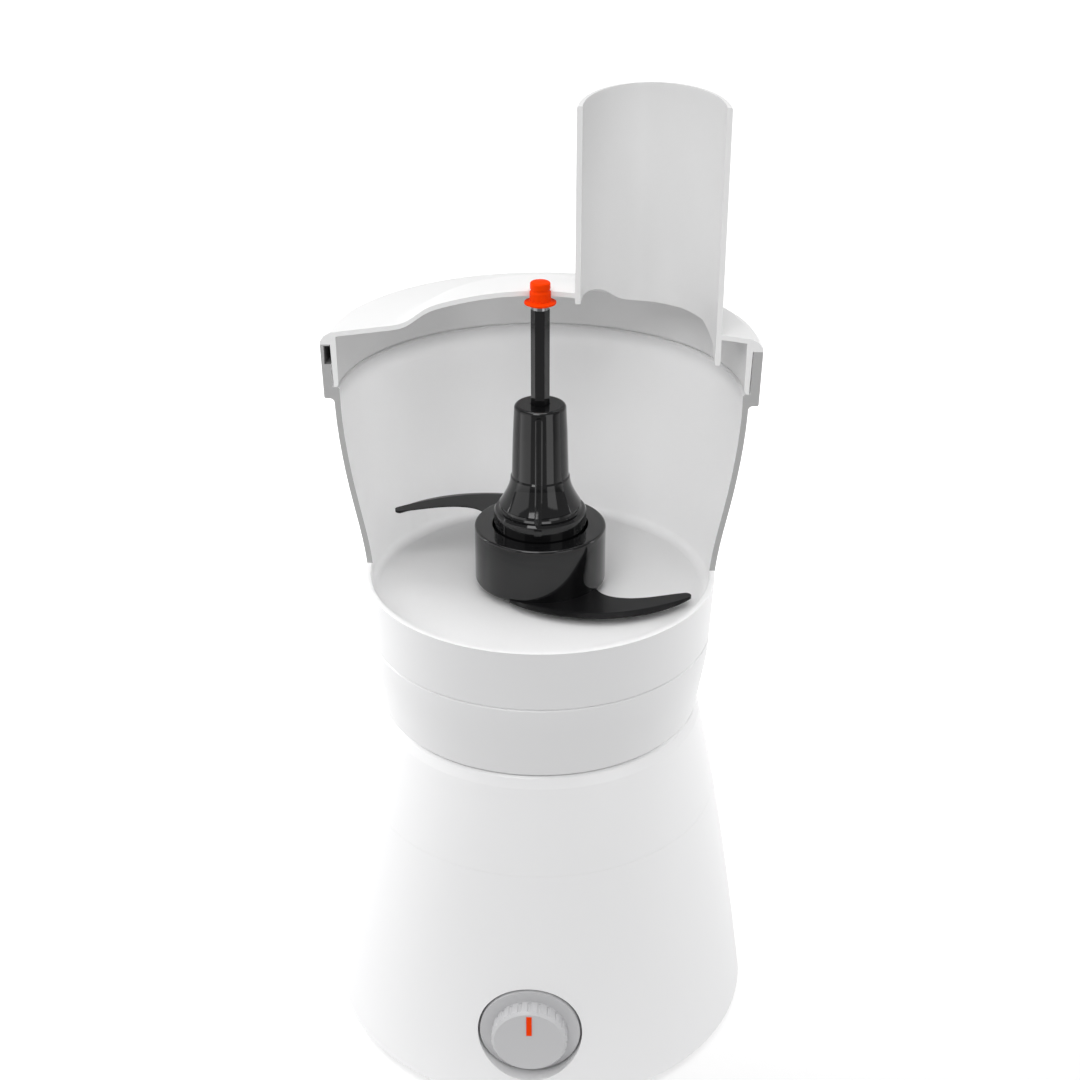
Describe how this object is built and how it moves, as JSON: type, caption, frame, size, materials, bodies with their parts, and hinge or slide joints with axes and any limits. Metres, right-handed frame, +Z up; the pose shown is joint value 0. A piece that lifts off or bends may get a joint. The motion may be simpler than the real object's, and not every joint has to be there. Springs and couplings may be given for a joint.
{
  "type": "food processor",
  "caption": "Cutaway food processor: tapered motor base, sectioned bowl, lid and feed tube, S-blade on a hexagonal spindle, geared motor inside.",
  "frame": {"origin": "on the drive axis, on the surface that the feet stand on", "axes": "+Z up along the drive axis, +X towards the feed tube, -Y towards the cut front and the control knob"},
  "size_m": [0.1984, 0.1984, 0.4285],
  "materials": {
    "white_plastic": "satin moulded",
    "bowl_plastic": "fine satin, translucent white",
    "lid_plastic": "satin moulded",
    "black_plastic": "glossy",
    "orange_plastic": "satin",
    "grey_plastic": "fine satin",
    "orange_marker": "satin",
    "nylon": "natural nylon",
    "dark_moulding": "matt",
    "rubber": "matt",
    "steel": "ground",
    "screw_steel": "zinc plated",
    "laminated_steel": "laminated sheet",
    "copper": "enamelled copper",
    "bronze": "sintered",
    "carbon": "matt",
    "bracket_alloy": "die cast",
    "circuit_green": "satin",
    "pin_plastic": "satin"
  },
  "bodies": {
    "base": {"base_housing": "white_plastic", "base_plate": "white_plastic", "base_plate_screws": "screw_steel", "rubber_feet": "rubber", "bowl_seat": "white_plastic", "bowl_seat_screws": "screw_steel", "shaft_seal": "rubber", "rotary_switch": "dark_moulding", "cord_gland": "rubber", "circuit_board": "circuit_green", "board_components": "dark_moulding", "interlock_spring": "steel", "interlock_switch": "dark_moulding", "stator_core": "laminated_steel", "field_coils": "copper", "lower_bracket": "bracket_alloy", "upper_bracket": "bracket_alloy", "motor_bolts": "screw_steel", "brush_holders": "bronze", "carbon_brushes": "carbon", "brush_springs": "steel", "motor_mounts": "rubber", "lower_bearing": "steel", "upper_bearing": "steel", "gearbox_housing": "nylon", "ring_gear": "steel", "gearbox_cover": "nylon", "gearbox_screws": "screw_steel", "output_bush": "bronze"},
    "rotor": {"motor_shaft": "steel", "armature_core": "laminated_steel", "armature_windings": "copper", "commutator": "copper", "cooling_fan": "nylon", "sun_gear": "steel"},
    "carrier": {"planet_carrier": "steel", "planet_pins": "steel", "output_shaft": "steel", "drive_coupling": "nylon"},
    "planet_1": {"planet_gear_1": "nylon"},
    "planet_2": {"planet_gear_2": "nylon"},
    "planet_3": {"planet_gear_3": "nylon"},
    "bowl": {"bowl": "bowl_plastic", "bowl_foot_ring": "bowl_plastic", "spindle_bushes": "nylon"},
    "spindle": {"drive_spindle": "black_plastic", "spindle_dog": "nylon", "spindle_collar": "steel"},
    "blades": {"blade_tower": "black_plastic", "blade_hub": "black_plastic", "lower_blade": "black_plastic", "upper_blade": "black_plastic"},
    "lid": {"lid": "lid_plastic", "lid_bearing": "orange_plastic", "feed_tube": "lid_plastic"},
    "knob": {"control_knob": "grey_plastic", "knob_pointer": "orange_marker", "selector_shaft": "steel"},
    "interlock_pin": {"interlock_pin": "pin_plastic"}
  },
  "joints": [
    {"name": "rotor_spin", "type": "hinge", "parent": "base", "child": "rotor", "pos_m": [0, 0, 0.08], "axis": [0, 0, 1], "continuous": true},
    {"name": "carrier_spin", "type": "hinge", "parent": "base", "child": "carrier", "pos_m": [0, 0, 0.145], "axis": [0, 0, 1], "continuous": true},
    {"name": "planet_1_spin", "type": "hinge", "parent": "carrier", "child": "planet_1", "pos_m": [0.02025, 0, 0.136], "axis": [0, 0, 1], "continuous": true},
    {"name": "planet_2_spin", "type": "hinge", "parent": "carrier", "child": "planet_2", "pos_m": [-0.01013, 0.01754, 0.136], "axis": [0, 0, 1], "continuous": true},
    {"name": "planet_3_spin", "type": "hinge", "parent": "carrier", "child": "planet_3", "pos_m": [-0.01013, -0.01754, 0.136], "axis": [0, 0, 1], "continuous": true},
    {"name": "bowl_lift", "type": "slide", "parent": "base", "child": "bowl", "axis": [0, 0, 1], "range_m": [0, 0.06]},
    {"name": "spindle_spin", "type": "hinge", "parent": "bowl", "child": "spindle", "pos_m": [0, 0, 0.24], "axis": [0, 0, 1], "continuous": true},
    {"name": "blade_lift", "type": "slide", "parent": "spindle", "child": "blades", "axis": [0, 0, 1], "range_m": [0, 0.038]},
    {"name": "lid_lift", "type": "slide", "parent": "bowl", "child": "lid", "axis": [0, 0, 1], "range_m": [0, 0.06]},
    {"name": "knob_turn", "type": "hinge", "parent": "base", "child": "knob", "pos_m": [0, -0.09, 0.038], "axis": [0, -1, 0], "range_deg": [-45, 90]},
    {"name": "interlock_press", "type": "slide", "parent": "base", "child": "interlock_pin", "axis": [0, 0, 1], "range_m": [-0.003, 0], "stiffness_N_per_m": 400, "springref_m": 0.003, "deforming": ["interlock_spring"]}
  ],
  "couplings": [
    {"joint": "carrier_spin", "follows": "rotor_spin", "ratio": 0.2},
    {"joint": "spindle_spin", "follows": "rotor_spin", "ratio": 0.2},
    {"joint": "planet_1_spin", "follows": "rotor_spin", "ratio": -0.53333},
    {"joint": "planet_2_spin", "follows": "rotor_spin", "ratio": -0.53333},
    {"joint": "planet_3_spin", "follows": "rotor_spin", "ratio": -0.53333}
  ]
}
